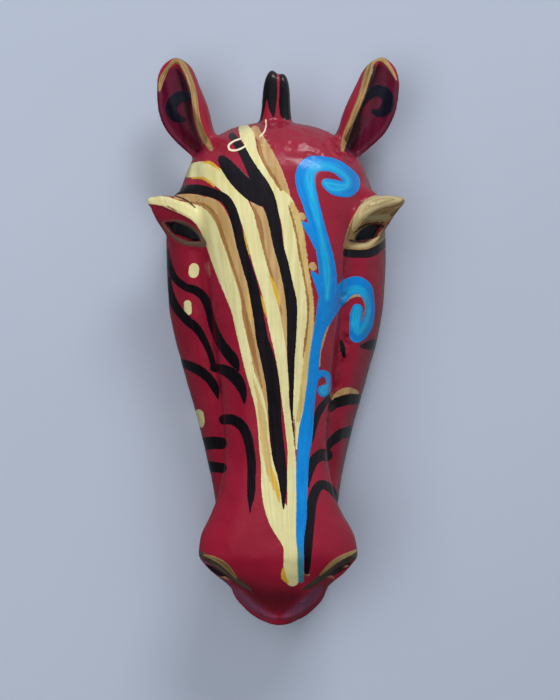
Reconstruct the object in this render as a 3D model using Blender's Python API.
"""A horse head mask: one hollow moulded shell with ears, a stub of mane, hooded eyes and flared nostrils.

It lies on its open back, with the origin under the middle of its box. Metres: +Z out of the face, +Y from the
chin to the ears, +X to the viewer's right.
The shell is blocked out from lofted forms, fused and smoothed like clay, and then hollowed and pierced.
"""

import math

import bmesh
import bpy
import numpy as np
from mathutils import Matrix, Vector
from mathutils.bvhtree import BVHTree

# Sizes of the head. The curves below are shares of these.
HEAD_LENGTH = 0.448  # chin to poll
HEAD_HALF_WIDTH = 0.0985  # centre line to the widest part of the cheek
HEAD_DEPTH = 0.125  # back rim to the top of the nose
WALL = 0.005  # thickness of the moulded shell
MUZZLE_LEAN = 0.0035  # the hand-made muzzle sits this far to the right of the forehead

# Sizes of the eyes. The hand-made right eye came out smaller.
EYE_LENGTH = {-1: 0.038, 1: 0.031}
EYE_OPENING = {-1: 0.0125, 1: 0.0118}
EYE_TILT = math.radians(15)  # the outer corner is the higher one
EYE_HOLE_LEAN = 0.25  # how far the hole leans towards the middle on its way in
LID_RADIUS = 0.0026
SOCKET_DEPTH = 0.006

# Sizes of a brow, a tube that tapers to both ends
BROW_RADIUS = 0.0070

# Sizes of a nostril and of the lower lip
NOSTRIL_LENGTH = 0.030
NOSTRIL_OPENING = 0.012
NOSTRIL_DEPTH = 0.012
NOSTRIL_TILT = math.radians(38)  # the outer corner is the higher one
NOSTRIL_RIM = 0.0032
LIP_RADIUS = 0.0045
MOUTH_RADIUS = 0.0070  # the trough behind the lower lip
MOUTH_DEPTH = 0.0018

# Sizes of an ear, a leaf rolled into a cup
EAR_LENGTH = 0.106
EAR_HALF_WIDTH = 0.0195
EAR_CUP = 0.015  # how deep the cup is
EAR_WALL = 0.006
EAR_RIM = 0.0040  # radius of the rolled edge

# Sizes of the mane, two locks side by side
MANE_LENGTH = 0.0465  # how far it stands up from the poll
MANE_HALF_WIDTH = 0.0105
MANE_HALF_DEPTH = 0.0105
MANE_LOCKS = (  # where the root and the tip stand across the head, and the shares of the width and the length
    (-0.075, -0.035, 0.72, 1.0),
    (0.075, 0.060, 0.60, 0.95),
)

# Fineness of the clay and of the finished facets
CLAY = 0.0020
SMOOTHING = 6
OUTER_FACES = 7000
INNER_FACES = 1400
BACK_MARGIN = 0.17  # how far the block runs behind the back before it is cut flat, as a share of the depth

# The lines of the head: (share of its length from the chin, share of its depth or half width)
CROWN_HEIGHT = (
    (0.0, 0.36), (0.006, 0.50), (0.02, 0.61), (0.04, 0.672), (0.06, 0.73), (0.08, 0.788), (0.10, 0.845),
    (0.128, 0.908), (0.16, 0.945),
    (0.22, 0.94), (0.35, 0.925), (0.45, 0.95), (0.57, 0.98), (0.70, 1.0), (0.80, 0.985), (0.88, 0.92),
    (0.93, 0.83), (0.965, 0.72), (0.988, 0.58), (1.0, 0.43),
)
SHOULDER_WIDTH = (
    (0.0, 0.0), (0.030, 0.24), (0.0525, 0.33), (0.088, 0.45), (0.119, 0.61), (0.150, 0.70), (0.185, 0.675),
    (0.228, 0.575), (0.27, 0.50), (0.32, 0.455), (0.39, 0.44), (0.46, 0.45), (0.563, 0.49), (0.65, 0.53),
    (0.76, 0.58), (0.83, 0.62), (0.89, 0.62), (0.94, 0.56), (0.975, 0.42), (0.99, 0.30), (1.0, 0.0),
)
SHOULDER_HEIGHT = (
    (0.0, 0.36), (0.03, 0.47), (0.0525, 0.53), (0.088, 0.62), (0.119, 0.68), (0.150, 0.70), (0.25, 0.73),
    (0.39, 0.75), (0.46, 0.77), (0.563, 0.80), (0.70, 0.83), (0.80, 0.83), (0.88, 0.77), (0.93, 0.68),
    (0.965, 0.58), (1.0, 0.43),
)
FOOT_WIDTH = (
    (0.0, 0.0), (0.030, 0.26), (0.0525, 0.355), (0.088, 0.43), (0.119, 0.53), (0.150, 0.60), (0.185, 0.585),
    (0.228, 0.52), (0.27, 0.475), (0.32, 0.46), (0.39, 0.475), (0.46, 0.51), (0.563, 0.57), (0.65, 0.62),
    (0.76, 0.66), (0.83, 0.72), (0.89, 0.72), (0.94, 0.65), (0.975, 0.48), (0.99, 0.33), (1.0, 0.0),
)
FOOT_HEIGHT = (
    (0.0, 0.36), (0.03, 0.42), (0.0525, 0.45), (0.088, 0.48), (0.150, 0.47), (0.228, 0.45), (0.32, 0.47),
    (0.39, 0.51), (0.46, 0.55), (0.563, 0.62), (0.65, 0.67), (0.76, 0.70), (0.83, 0.72), (0.89, 0.64),
    (0.94, 0.56), (0.975, 0.49), (1.0, 0.43),
)
FLANK_WIDTH = (
    (0.0, 0.0), (0.004, 0.13), (0.0103, 0.205), (0.030, 0.314), (0.0525, 0.40), (0.088, 0.455), (0.12, 0.50),
    (0.18, 0.53), (0.241, 0.56), (0.304, 0.615), (0.385, 0.69), (0.462, 0.79), (0.529, 0.87), (0.58, 0.93),
    (0.64, 0.98), (0.72, 0.995), (0.778, 1.0), (0.855, 0.89), (0.926, 0.75), (0.954, 0.645), (0.976, 0.47),
    (0.993, 0.27), (1.0, 0.0),
)
FLANK_HEIGHT = (
    (0.0, 0.36), (0.06, 0.38), (0.10, 0.36), (0.20, 0.22), (0.35, 0.20), (0.571, 0.27), (0.70, 0.33),
    (0.93, 0.34), (1.0, 0.43),
)
RIM_WIDTH = (
    (0.0, 0.0), (0.0103, 0.14), (0.030, 0.23), (0.0525, 0.32), (0.088, 0.38), (0.150, 0.45), (0.241, 0.505),
    (0.385, 0.65), (0.462, 0.73), (0.58, 0.85), (0.64, 0.88), (0.76, 0.90), (0.859, 0.84), (0.926, 0.68),
    (0.954, 0.56), (0.976, 0.42), (0.993, 0.24), (1.0, 0.0),
)
UNDERSIDE = (
    (0.0, 0.36), (0.006, 0.28), (0.020, 0.14), (0.036, 0.0), (0.055, -BACK_MARGIN), (0.955, -BACK_MARGIN),
    (0.975, 0.0), (0.99, 0.22), (1.0, 0.43),
)

# Places of the features: (share of the length, share of the half width, share of the depth)
EYE_PLACE = (0.776, 0.815)
EYE_OUTWARD = (0.50, -0.28, 0.82)
ORBIT_PLACE = (0.782, 0.79, 0.49)
ORBIT_RADII = (0.20, 0.052, 0.185)  # shares of the half width, the length and the depth
BROW_LINE = (
    (0.745, 0.62, 0.66), (0.768, 0.65, 0.71), (0.793, 0.69, 0.755), (0.813, 0.77, 0.76), (0.826, 0.865, 0.73),
    (0.833, 0.985, 0.67), (0.836, 1.135, 0.60),
)
BROW_SWELL = (0.55, 0.75, 0.95, 1.0, 1.0, 0.90, 0.60)  # how the brow thickens and thins along its line
ORBIT_LINE = (
    (0.828, 1.075, 0.57), (0.813, 1.035, 0.55), (0.796, 0.985, 0.52), (0.78, 0.945, 0.48), (0.762, 0.91, 0.42),
)
ORBIT_SWELL = (0.75, 0.9, 0.9, 0.8, 0.6)
ORBIT_FOLD_LINE = ((0.833, 1.06, 0.605), (0.823, 1.005, 0.605), (0.808, 0.955, 0.58), (0.79, 0.925, 0.53))
ORBIT_FOLD_SWELL = (0.6, 0.9, 0.9, 0.6)
ORBIT_SPREAD = {-1: 1.0, 1: 0.965}  # how far out the edge of each orbit stands
BROW_ROOT_LINE = ((0.86, 0.55, 0.62), (0.846, 0.72, 0.62), (0.834, 0.90, 0.55))
BROW_ROOT_SWELL = (1.8, 1.7, 1.0)
NOSTRIL_PLACE = (0.122, 0.55)
NOSTRIL_OUTWARD = (0.50, -0.62, 0.60)
MOUTH_LINE = ((0.100, 0.33), (0.074, 0.285), (0.052, 0.21), (0.038, 0.12), (0.034, 0.0))
LIP_LINE = ((0.088, 0.41), (0.060, 0.345), (0.036, 0.27), (0.020, 0.16), (0.015, 0.0))
EAR_ROOT = (0.905, 0.437, 0.37)
EAR_SPREAD = {-1: 0.443, 1: 0.485}  # how far out each tip stands from its root, as a share of the ear's length
EAR_CURL = {-1: 2.6, 1: 2.2}  # how early each ear bends upright
EAR_OUTLINE = (
    (0.0, 0.50), (0.21, 0.60), (0.30, 0.75), (0.42, 0.96), (0.52, 1.0), (0.65, 0.94), (0.84, 0.74), (0.94, 0.46),
    (1.0, 0.06),
)
EAR_DEPTH = ((0.0, 0.80), (0.25, 1.0), (0.55, 0.90), (0.8, 0.62), (1.0, 0.10))


def curve_through(points, at):
    """A smooth curve through (place, value) pairs that never swings past them."""
    xs, ys = (np.array(column, float) for column in zip(*points))
    step = np.diff(xs)
    slope = np.diff(ys) / step
    tangent = np.zeros(len(xs))
    same_way = slope[:-1] * slope[1:] > 0
    weight_a, weight_b = 2 * step[1:] + step[:-1], step[1:] + 2 * step[:-1]
    before, after = (np.where(part == 0, 1, part) for part in (slope[:-1], slope[1:]))
    mean_slope = (weight_a + weight_b) / (weight_a / before + weight_b / after)
    tangent[1:-1] = np.where(same_way, mean_slope, 0)
    tangent[0], tangent[-1] = slope[0], slope[-1]
    i = np.clip(np.searchsorted(xs, at) - 1, 0, len(step) - 1)
    t = (at - xs[i]) / step[i]
    return (
        ys[i] * (1 + 2 * t) * (1 - t) ** 2
        + ys[i + 1] * t * t * (3 - 2 * t)
        + step[i] * (tangent[i] * t * (1 - t) ** 2 - tangent[i + 1] * t * t * (1 - t))
    )


def through_weights(knots, samples):
    """The weights that turn a row of knots into samples along a smooth curve through them."""
    weights = np.zeros((samples, knots))
    for row, u in enumerate(np.linspace(0, knots - 1, samples)):
        i = min(int(u), knots - 2)
        t = u - i
        for offset, w in zip(
            (-1, 0, 1, 2),
            (-t + 2 * t * t - t**3, 2 - 5 * t * t + 3 * t**3, t + 4 * t * t - 3 * t**3, t**3 - t * t),
        ):
            weights[row, min(max(i + offset, 0), knots - 1)] += w / 2
    return weights


def loft(name, loops):
    """A closed mesh through loops of points, with the same count in each. A loop of one point closes an end."""
    mesh = bmesh.new()
    rings = [[mesh.verts.new(p) for p in loop] for loop in loops]
    count = len(rings[0])
    for low, high in zip(rings, rings[1:]):
        for i in range(count):
            j = (i + 1) % count
            mesh.faces.new((low[i], low[j], high[j], high[i]))
    mesh.faces.new(reversed(rings[0]))
    mesh.faces.new(rings[-1])
    bmesh.ops.remove_doubles(mesh, verts=mesh.verts, dist=1e-6)
    bmesh.ops.dissolve_degenerate(mesh, edges=mesh.edges, dist=1e-7)
    bmesh.ops.recalc_face_normals(mesh, faces=mesh.faces)
    data = bpy.data.meshes.new(name)
    mesh.to_mesh(data)
    mesh.free()
    return data


def lean(along):
    return MUZZLE_LEAN * max(0.0, 1 - along / 0.3)


def head_place(along, across=0.0, height=0.0):
    """A point on the head's own grid: shares of its length, half width and depth."""
    return Vector((across * HEAD_HALF_WIDTH + lean(along), along * HEAD_LENGTH, height * HEAD_DEPTH))


def head_mesh(rows=150, samples=44):
    """The bare head: a rounded nose over broad cheeks, closed at the chin and the poll."""
    along = 0.5 - 0.5 * np.cos(np.linspace(0, math.pi, rows))
    crown, low = curve_through(CROWN_HEIGHT, along), curve_through(UNDERSIDE, along)
    shoulder_x, shoulder_z = curve_through(SHOULDER_WIDTH, along), curve_through(SHOULDER_HEIGHT, along)
    foot_x, foot_z = curve_through(FOOT_WIDTH, along), curve_through(FOOT_HEIGHT, along)
    flank_x, flank_z = curve_through(FLANK_WIDTH, along), curve_through(FLANK_HEIGHT, along)
    rim_x = curve_through(RIM_WIDTH, along)
    cheek_x, cheek_z = foot_x + 0.55 * (flank_x - foot_x), flank_z + 0.78 * (foot_z - flank_z)
    brow_x, brow_z = 0.60 * shoulder_x, crown - 0.20 * (crown - shoulder_z)
    knots_x = np.stack([0 * crown, brow_x, shoulder_x, foot_x, cheek_x, flank_x, rim_x, 0 * crown], axis=1)
    knots_z = np.stack([crown, brow_z, shoulder_z, foot_z, cheek_z, flank_z, low, low], axis=1)
    weights = through_weights(knots_x.shape[1], samples)
    x = knots_x @ weights.T * HEAD_HALF_WIDTH
    z = knots_z @ weights.T * HEAD_DEPTH
    loops = []
    for i, share in enumerate(along):
        half = [(x[i, k], z[i, k]) for k in range(1, samples - 1)]
        top, bottom = [(0.0, z[i, 0])], [(0.0, z[i, -1])]
        ring = top + half + bottom + [(-px, pz) for px, pz in reversed(half)]
        loops.append([Vector((px + lean(share), share * HEAD_LENGTH, pz)) for px, pz in ring])
    return loft("head", loops)


def surface_of(obj):
    """A form's surface, ready to be hit by rays."""
    corners = [v.co.copy() for v in obj.data.vertices]
    return BVHTree.FromPolygons(corners, [tuple(p.vertices) for p in obj.data.polygons])


def surface_under(form, along, across):
    """The point and normal of a form under a place on the head's grid, looked for from the front."""
    above = head_place(along, across, 2.0)
    point, normal, _, _ = form.ray_cast(above, Vector((0, 0, -1)))
    return point, normal


def tube(name, path, radii, sides=16, pieces=6):
    """A tube that tapers along a smooth path, with both ends closed to a point."""
    weights = through_weights(len(path), (len(path) - 1) * pieces + 1)
    centres = [Vector(c) for c in weights @ np.array([tuple(p) for p in path])]
    sizes = [float(r) for r in weights @ np.array(radii, float)]
    turns = [2 * math.pi * k / sides for k in range(sides)]
    loops = []
    side = Vector((0, 0, 1))
    for i, (centre, radius) in enumerate(zip(centres, sizes)):
        ahead = (centres[min(i + 1, len(centres) - 1)] - centres[max(i - 1, 0)]).normalized()
        side = (side - ahead * side.dot(ahead)).normalized()
        other = ahead.cross(side)
        ring = [centre + radius * (math.cos(a) * side + math.sin(a) * other) for a in turns]
        if i == 0:
            loops.append([centre - ahead * radius * 0.6] * sides)
        loops.append(ring)
        if i == len(centres) - 1:
            loops.append([centre + ahead * radius * 0.6] * sides)
    return loft(name, loops)


def tube_on_grid(name, places, side, shares, radius, spread=1.0):
    path = [head_place(a, side * spread * x, z) for a, x, z in places]
    return tube(name, path, [radius * share for share in shares])


def ellipsoid(name, centre, turn, radii):
    mesh = bmesh.new()
    bmesh.ops.create_uvsphere(mesh, u_segments=32, v_segments=18, radius=1.0)
    mesh.transform(Matrix.Translation(centre) @ turn @ Matrix.Diagonal((*radii, 1)))
    bmesh.ops.recalc_face_normals(mesh, faces=mesh.faces)
    data = bpy.data.meshes.new(name)
    mesh.to_mesh(data)
    mesh.free()
    return data


def facing(outward, tilt, side):
    """A frame whose Z looks outward and whose X runs out across the face, rising by an angle. Sides mirror."""
    out = Vector((side * outward[0], outward[1], outward[2])).normalized()
    along = Vector((side * math.cos(tilt), math.sin(tilt), 0.0))
    along = (along - out * along.dot(out)).normalized()
    return Matrix((along, side * out.cross(along), out)).transposed().to_4x4()


def almond(side, grow, points=28):
    """The eye's outline in its own plane, with pointed corners on the X axis."""
    outline = []
    for a in [2 * math.pi * k / points for k in range(points)]:
        lift = math.sin(a) * abs(math.sin(a)) ** 0.4 * (EYE_OPENING[side] / 2 + grow)
        outline.append(Vector((math.cos(a) * (EYE_LENGTH[side] / 2 + grow), lift, 0)))
    return outline


def eye_centre(form, side):
    point, _ = surface_under(form, EYE_PLACE[0], side * EYE_PLACE[1])
    return point


def orbit_mesh(side):
    """The bone around the eye, which rounds the head out as far as the cheek."""
    share_x, share_y, share_z = ORBIT_RADII
    radii = (share_x * HEAD_HALF_WIDTH, share_y * HEAD_LENGTH, share_z * HEAD_DEPTH)
    centre = head_place(ORBIT_PLACE[0], side * ORBIT_SPREAD[side] * ORBIT_PLACE[1], ORBIT_PLACE[2])
    return ellipsoid("orbit", centre, Matrix.Identity(4), radii)


def socket_mesh(form, side):
    """The hollow under the brow, to cut away."""
    turn = facing(EYE_OUTWARD, EYE_TILT, side)
    radii = (EYE_LENGTH[side] * 0.70, EYE_OPENING[side] * 1.15, SOCKET_DEPTH * 2)
    return ellipsoid("socket", eye_centre(form, side) + turn @ Vector((0, 0, SOCKET_DEPTH)), turn, radii)


def hood_meshes(form, side):
    """The slope from the brow's edge down to the eye, as rows of tubes that the clay runs together."""
    turn = facing(EYE_OUTWARD, EYE_TILT, side)
    centre = eye_centre(form, side)
    ridge = [head_place(a, side * x, z) for a, x, z in BROW_LINE]
    half_length, half_opening = EYE_LENGTH[side] / 2 + LID_RADIUS, EYE_OPENING[side] / 2 + LID_RADIUS
    rows = []
    for step in (0.3, 0.6, 0.9):
        path = []
        for i, top in enumerate(ridge):
            around = math.pi * (1 - i / (len(ridge) - 1))
            edge = Vector((math.cos(around) * half_length, math.sin(around) * half_opening, 0))
            path.append(top.lerp(centre + turn @ edge, step))
        radius = BROW_RADIUS * (1 - 0.45 * step)
        rows.append(tube("hood", path, [radius * share for share in BROW_SWELL]))
    return rows


def lid_mesh(form, side):
    """The raised edge around the eye."""
    turn = facing(EYE_OUTWARD, EYE_TILT, side)
    centre = eye_centre(form, side)
    outline = [centre + turn @ p for p in almond(side, LID_RADIUS * 0.7)]
    return tube("lid", outline + outline[:2], [LID_RADIUS] * (len(outline) + 2), sides=10, pieces=2)


def eye_hole_mesh(form, side):
    """The hole of the eye, to cut right through the wall."""
    turn = facing(EYE_OUTWARD, EYE_TILT, side)
    centre = eye_centre(form, side)
    outward = turn @ Vector((0, 0, 1))
    inward = Vector((-side * EYE_HOLE_LEAN, EYE_HOLE_LEAN / 2, -1))
    reach = 4 * SOCKET_DEPTH + WALL
    outline = [centre + turn @ p for p in almond(side, 0.0)]
    inner, outer = [p + inward * reach for p in outline], [p + outward * reach for p in outline]
    return loft("eye_hole", [inner, outline, outer])


def nostril_mesh(form, side):
    """The slanted recess of a nostril, to cut away."""
    turn = facing(NOSTRIL_OUTWARD, NOSTRIL_TILT, side)
    point, _ = surface_under(form, NOSTRIL_PLACE[0], side * NOSTRIL_PLACE[1])
    return ellipsoid("nostril", point, turn, (NOSTRIL_LENGTH / 2, NOSTRIL_OPENING / 2, NOSTRIL_DEPTH))


def nostril_rim_mesh(form, side):
    """The raised rim over a nostril."""
    turn = facing(NOSTRIL_OUTWARD, NOSTRIL_TILT, side)
    point, _ = surface_under(form, NOSTRIL_PLACE[0], side * NOSTRIL_PLACE[1])
    arc = [math.radians(a) for a in range(-20, 201, 20)]
    half = (NOSTRIL_LENGTH / 2 + NOSTRIL_RIM, NOSTRIL_OPENING / 2 + NOSTRIL_RIM)
    path = []
    for a in arc:
        start = point + turn @ Vector((math.cos(a) * half[0], math.sin(a) * half[1], 4 * NOSTRIL_DEPTH))
        hit = form.ray_cast(start, turn @ Vector((0, 0, -1)))[0]
        path.append(hit)
    shares = [0.3 + 0.7 * math.sin(math.pi * i / (len(path) - 1)) for i in range(len(path))]
    return tube("nostril_rim", path, [NOSTRIL_RIM * share for share in shares])


def across_the_chin(line):
    """A line from one side of the chin to the other, from the half that is given."""
    return [(a, -x) for a, x in line] + [(a, x) for a, x in reversed(line[:-1])]


def mouth_mesh(form):
    """The trough between the lips, to cut away."""
    path = []
    for along, across in across_the_chin(MOUTH_LINE):
        point, normal = surface_under(form, along, across)
        path.append(point + normal * (MOUTH_RADIUS - MOUTH_DEPTH))
    shares = [0.7 + 0.3 * math.sin(math.pi * i / (len(path) - 1)) for i in range(len(path))]
    return tube("mouth", path, [MOUTH_RADIUS * share for share in shares])


def lip_mesh(form):
    """The lower lip, a roll along the chin."""
    path = [surface_under(form, a, x)[0] for a, x in across_the_chin(LIP_LINE)]
    shares = [0.4 + 0.6 * math.sin(math.pi * i / (len(path) - 1)) ** 0.5 for i in range(len(path))]
    return tube("lip", path, [LIP_RADIUS * share for share in shares])


def ear_meshes(side, rows=60, arc=28):
    """A leaf rolled into a cup, with a rolled edge. The inner edge stands up towards the viewer."""
    root = head_place(EAR_ROOT[0], side * EAR_ROOT[1], EAR_ROOT[2])
    shares = [float(s) for s in 1 - (1 - np.linspace(0, 1, rows)) ** 1.6]
    half_widths = curve_through(EAR_OUTLINE, np.array(shares)) * EAR_HALF_WIDTH
    cups = curve_through(EAR_DEPTH, np.array(shares)) * EAR_CUP
    angles = [math.radians(a) for a in np.linspace(-55, 172, arc)]
    spread, rise, curl = EAR_SPREAD[side] * EAR_LENGTH, 0.95 * EAR_LENGTH, EAR_CURL[side]
    loops, inner_edge, outer_edge = [], [], []
    for share, half, cup in zip(shares, half_widths, cups):
        out = spread * (1 - (1 - share) ** curl)
        centre = root + Vector((side * out, rise * share, 0.06 * EAR_LENGTH * math.sin(math.pi * share)))
        ahead = Vector((side * spread * curl * (1 - share) ** (curl - 1), rise, 0)).normalized()
        across = Vector((side * ahead.y, -abs(ahead.x), 0))
        wall = min(EAR_WALL, half * 0.9) / 2
        outer, inner = [], []
        for a in angles:
            for ring, grow in ((outer, wall), (inner, -wall)):
                sideways = across * (-math.cos(a) * (half + grow))
                ring.append(centre + sideways + Vector((0, 0, -math.sin(a) * (cup + grow))))
        loops.append(outer + inner[::-1])
        if share > 0.16:
            inner_edge.append((outer[0] + inner[0]) / 2)
        if share > 0.72:
            outer_edge.append((outer[-1] + inner[-1]) / 2)
    rim = (inner_edge + outer_edge[::-1])[::4]
    swells = [math.sin(math.pi * min(1.0, 1.5 * i / (len(rim) - 1))) for i in range(len(rim))]
    radii = [EAR_RIM * (0.45 + 0.55 * swell) for swell in swells]
    return [loft("ear", loops), tube("ear_rim", rim, radii, sides=10, pieces=3)]


def mane_mesh(root_across, tip_across, half, length):
    """One lock of the mane, a rounded blade that widens into the poll."""
    root, tip = head_place(0.955, root_across, 0.38), head_place(1.0, tip_across, 0.40) + Vector((0, length, 0))
    turns = [2 * math.pi * k / 20 for k in range(20)]
    loops = []
    for share in [float(s) for s in 1 - (1 - np.linspace(0, 1, 30)) ** 2]:
        narrow = math.sqrt(max(0.0, 1 - max(0.0, (share - 0.72) / 0.28) ** 2))
        swell = narrow * (1 + 0.7 * max(0.0, 1 - share / 0.6) ** 2)
        wide, deep = half * swell, MANE_HALF_DEPTH * swell
        centre = root.lerp(tip, share)
        loops.append([centre + Vector((math.cos(a) * wide, 0, math.sin(a) * deep)) for a in turns])
    return loft("mane", loops)


def cavity_mesh(form):
    """The hollow of the shell: the bare head drawn in by the wall, and running out through the back."""
    hollow = place("hollow", form.copy(), helper=True)
    remesh = hollow.modifiers.new("even", "REMESH")
    remesh.mode = "VOXEL"
    remesh.voxel_size = CLAY
    shrink = hollow.modifiers.new("wall", "DISPLACE")
    shrink.mid_level = 0.0
    shrink.strength = -WALL
    clay(hollow, SMOOTHING)
    thinned(hollow, INNER_FACES)
    return hollow


def clear_scene():
    for obj in list(bpy.data.objects):
        bpy.data.objects.remove(obj)


def place(name, mesh, helper=False):
    obj = bpy.data.objects.new(name, mesh)
    bpy.context.scene.collection.objects.link(obj)
    if helper:
        obj.hide_render = True
        obj.display_type = "WIRE"
    return obj


def fused(name, meshes):
    """One mesh that holds several closed ones, which may overlap."""
    joined = bmesh.new()
    for mesh in meshes:
        joined.from_mesh(mesh)
    data = bpy.data.meshes.new(name)
    joined.to_mesh(data)
    joined.free()
    return data


def baked(obj):
    """The object with its modifiers worked into its mesh."""
    graph = bpy.context.evaluated_depsgraph_get()
    graph.update()
    mesh = bpy.data.meshes.new_from_object(obj.evaluated_get(graph))
    obj.modifiers.clear()
    obj.data = mesh


def clay(obj, smoothing):
    remesh = obj.modifiers.new("clay", "REMESH")
    remesh.mode = "VOXEL"
    remesh.voxel_size = CLAY
    smooth = obj.modifiers.new("smooth", "SMOOTH")
    smooth.factor = 0.5
    smooth.iterations = smoothing
    baked(obj)


def thinned(obj, faces):
    decimate = obj.modifiers.new("thin", "DECIMATE")
    decimate.ratio = faces / (2 * len(obj.data.polygons))
    decimate.use_collapse_triangulate = True
    baked(obj)


def cut(obj, cutters, operation="DIFFERENCE"):
    for cutter in cutters:
        boolean = obj.modifiers.new(cutter.name, "BOOLEAN")
        boolean.operation = operation
        boolean.object = cutter
        boolean.solver = "EXACT"
    baked(obj)


def front_half_space():
    """A block that holds all that lies before the plane of the back rim."""
    mesh = bmesh.new()
    bmesh.ops.create_cube(mesh, size=1.0)
    size = 3 * HEAD_LENGTH
    mesh.transform(Matrix.Translation((0, 0, size / 2)) @ Matrix.Diagonal((size, size, size, 1)))
    data = bpy.data.meshes.new("front")
    mesh.to_mesh(data)
    mesh.free()
    return data


def paint_material():
    material = bpy.data.materials.new("crimson_gloss_paint")
    material.use_nodes = True
    shader = material.node_tree.nodes["Principled BSDF"]
    shader.inputs["Base Color"].default_value = (0.21, 0.013, 0.026, 1)
    shader.inputs["Roughness"].default_value = 0.3
    shader.inputs["Metallic"].default_value = 0.0
    return material


def main():
    clear_scene()
    sides = (-1, 1)
    core = place("core", head_mesh(), helper=True)
    orbits = [place("orbit", orbit_mesh(side), helper=True) for side in sides]
    cut(core, orbits, "UNION")
    form = surface_of(core)
    recesses = [place("socket", socket_mesh(form, side), helper=True) for side in sides]
    recesses += [place("nostril", nostril_mesh(form, side), helper=True) for side in sides]
    recesses.append(place("mouth", mouth_mesh(form), helper=True))
    cut(core, recesses)
    form = surface_of(core)

    forms = [core.data, lip_mesh(form)]
    for side in sides:
        forms.append(tube_on_grid("brow", BROW_LINE, side, BROW_SWELL, BROW_RADIUS))
        spread = ORBIT_SPREAD[side]
        forms.append(tube_on_grid("orbit", ORBIT_LINE, side, ORBIT_SWELL, BROW_RADIUS, spread))
        forms.append(tube_on_grid("orbit_fold", ORBIT_FOLD_LINE, side, ORBIT_FOLD_SWELL, BROW_RADIUS, spread))
        forms.append(tube_on_grid("brow_root", BROW_ROOT_LINE, side, BROW_ROOT_SWELL, BROW_RADIUS))
        forms += hood_meshes(form, side)
        forms += [lid_mesh(form, side), nostril_rim_mesh(form, side)] + ear_meshes(side)
    for root_across, tip_across, width, length in MANE_LOCKS:
        forms.append(mane_mesh(root_across, tip_across, MANE_HALF_WIDTH * width, MANE_LENGTH * length))

    mask = place("mask_shell", fused("mask_shell", forms))
    clay(mask, SMOOTHING)
    thinned(mask, OUTER_FACES)
    tools = [cavity_mesh(core.data)]
    tools += [place("eye_hole", eye_hole_mesh(form, side), helper=True) for side in sides]
    cut(mask, tools)
    front = place("front", front_half_space(), helper=True)
    cut(mask, [front], "INTERSECT")
    mask.data.materials.clear()
    mask.data.materials.append(paint_material())
    mask.data.shade_smooth()
    low, high = Vector(mask.bound_box[0]), Vector(mask.bound_box[6])
    mask.location = (-(low.x + high.x) / 2, -(low.y + high.y) / 2, 0)
    for helper in [core, front] + orbits + recesses + tools:
        bpy.data.objects.remove(helper)


main()
